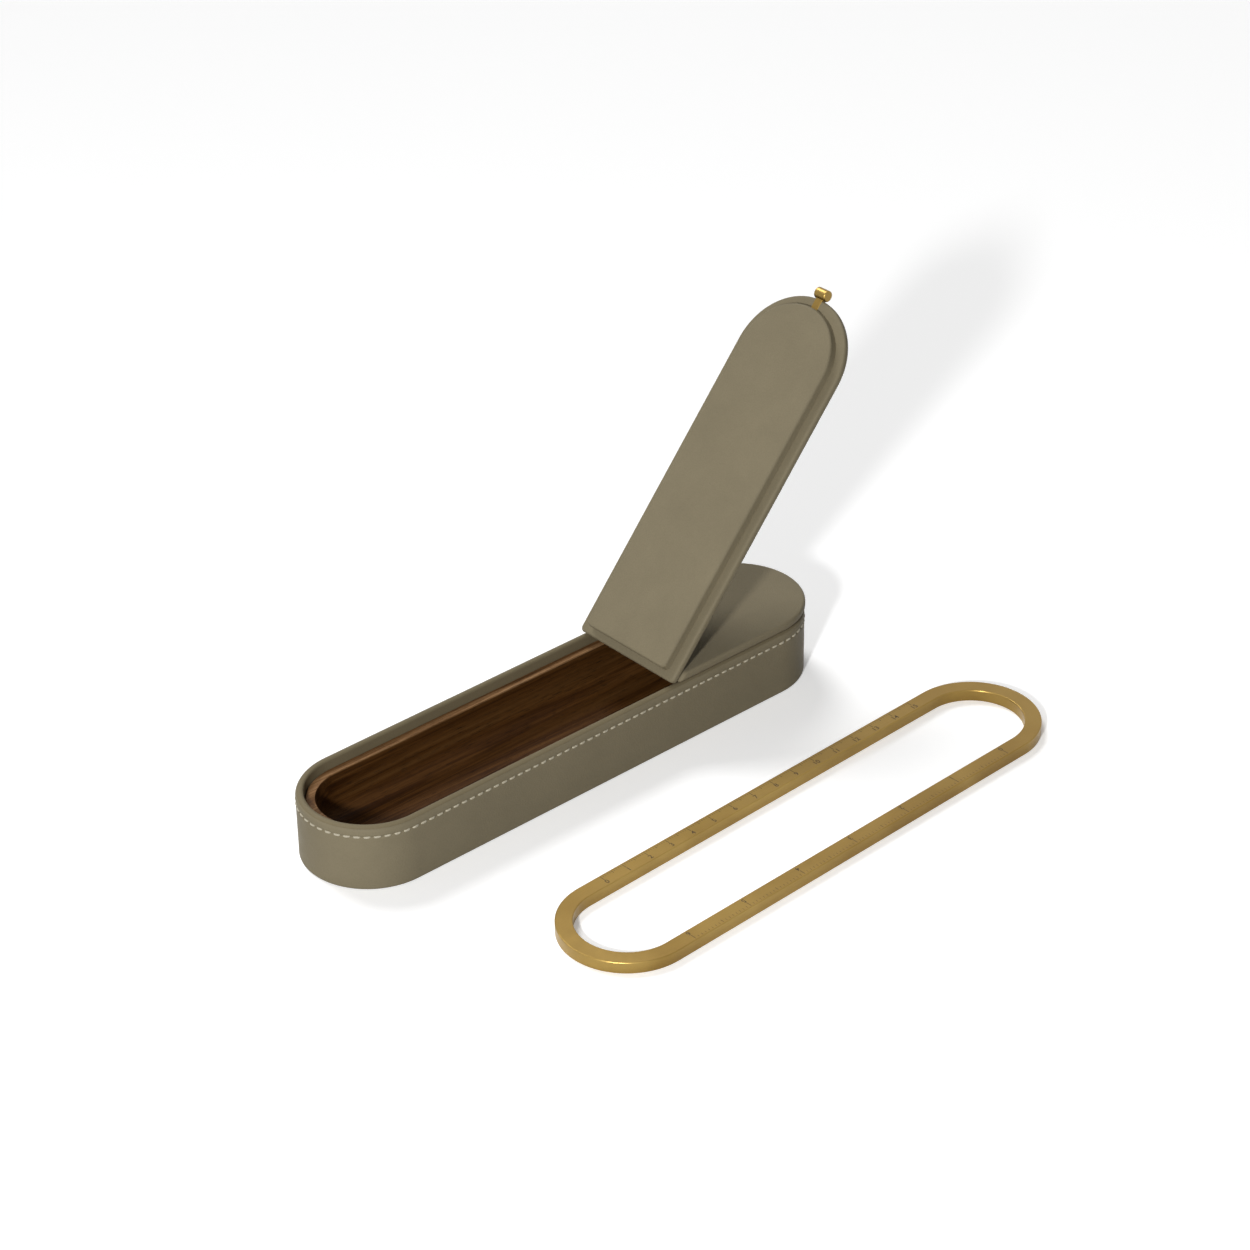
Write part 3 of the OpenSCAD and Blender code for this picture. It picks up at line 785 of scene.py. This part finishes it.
def make_floor():
    """A pale floor. To the camera it is a little lighter, so that it meets the white behind it."""
    graph = Graph("floor")
    paths = graph.add("LightPath")
    seen = graph.math("MAXIMUM", paths.outputs["Is Camera Ray"], paths.outputs["Is Glossy Ray"])
    seen = graph.math("MAXIMUM", seen, paths.outputs["Is Transmission Ray"])
    graph.finish(Base_Color=graph.mix(seen, times(FLOOR_SHADE, WHITE), times(FLOOR_SEEN, WHITE)),
                 Emission_Color=WHITE, Emission_Strength=graph.math("MULTIPLY", seen, FLOOR_GLOW),
                 Roughness=1.0, Specular_IOR_Level=0.0)
    bpy.ops.mesh.primitive_plane_add(size=FLOOR_SIZE, location=(0, 0, 0))
    floor = bpy.context.object
    floor.name = "floor"
    floor.data.materials.append(graph.material)


def make_world():
    """White behind the object, and a soft sky around it that is strongest above and to the left."""
    world = bpy.data.worlds.new("world")
    bpy.context.scene.world = world
    world.use_nodes = True
    tree = world.node_tree
    tree.nodes.clear()
    link = tree.links.new
    output = tree.nodes.new("ShaderNodeOutputWorld")
    seen = tree.nodes.new("ShaderNodeBackground")
    seen.inputs["Color"].default_value = WHITE
    sky = tree.nodes.new("ShaderNodeBackground")
    coordinates = tree.nodes.new("ShaderNodeTexCoord")
    lobe = tree.nodes.new("ShaderNodeVectorMath")
    lobe.operation = "DOT_PRODUCT"
    link(coordinates.outputs["Generated"], lobe.inputs[0])
    lobe.inputs[1].default_value = Vector(SKY_TOWARDS).normalized()
    level = tree.nodes.new("ShaderNodeMapRange")
    for name, value in (("From Min", -1.0), ("From Max", 1.0),
                        ("To Min", SKY_LEAST), ("To Max", SKY_MOST)):
        level.inputs[name].default_value = value
    link(lobe.outputs["Value"], level.inputs["Value"])
    link(level.outputs["Result"], sky.inputs["Strength"])
    paths = tree.nodes.new("ShaderNodeLightPath")
    clear = paths.outputs["Is Camera Ray"]
    for name in ("Is Glossy Ray", "Is Transmission Ray"):
        either = tree.nodes.new("ShaderNodeMath")
        either.operation = "MAXIMUM"
        link(clear, either.inputs[0])
        link(paths.outputs[name], either.inputs[1])
        clear = either.outputs["Value"]
    mix = tree.nodes.new("ShaderNodeMixShader")
    link(clear, mix.inputs["Fac"])
    link(sky.outputs[0], mix.inputs[1])
    link(seen.outputs[0], mix.inputs[2])
    link(mix.outputs[0], output.inputs["Surface"])


def aim(thing, forward, up=(0, 0, 1)):
    """Turns a lamp or camera so that it looks along forward."""
    forward = Vector(forward).normalized()
    right = forward.cross(Vector(up)).normalized()
    true_up = right.cross(forward)
    matrix = Matrix((right, true_up, -forward)).transposed().to_4x4()
    matrix.translation = thing.location
    thing.matrix_world = matrix


def make_sun(name, travels, level, spread):
    """A sun whose light falls on a face across its way at level times the face's colour."""
    lamp = bpy.data.lights.new(name, "SUN")
    lamp.energy = level * math.pi
    lamp.angle = math.radians(spread)
    sun = bpy.data.objects.new(name, lamp)
    bpy.context.scene.collection.objects.link(sun)
    aim(sun, travels)


def make_disc(name, travels, towards, distance, size, level):
    """A round lamp whose light reaches a point at level times the colour of a face across it."""
    lamp = bpy.data.lights.new(name, "AREA")
    lamp.shape = "DISK"
    lamp.size = size
    lamp.energy = level * (math.pi * distance) ** 2
    disc = bpy.data.objects.new(name, lamp)
    disc.location = Vector(towards) - distance * Vector(travels).normalized()
    bpy.context.scene.collection.objects.link(disc)
    bpy.context.view_layer.update()
    aim(disc, travels)


def make_camera():
    data = bpy.data.cameras.new("camera")
    data.sensor_width = SENSOR_WIDTH
    data.lens = FOCAL_PIXELS / IMAGE_PIXELS * SENSOR_WIDTH
    data.shift_x = -HALF_PIXEL
    data.shift_y = HALF_PIXEL
    data.clip_start = 0.01
    data.clip_end = 100
    camera = bpy.data.objects.new("camera", data)
    camera.location = CAMERA_PLACE
    bpy.context.scene.collection.objects.link(camera)
    bpy.context.view_layer.update()
    aim(camera, CAMERA_FORWARD, CAMERA_UP)
    bpy.context.scene.camera = camera


make_floor()
make_world()
make_disc("key", KEY_TRAVELS, KEY_TOWARDS, KEY_DISTANCE, KEY_SIZE, KEY_LEVEL)
make_sun("back", BACK_TRAVELS, BACK_LEVEL, BACK_SPREAD)
make_camera()

bpy.context.scene.view_settings.view_transform = "Standard"
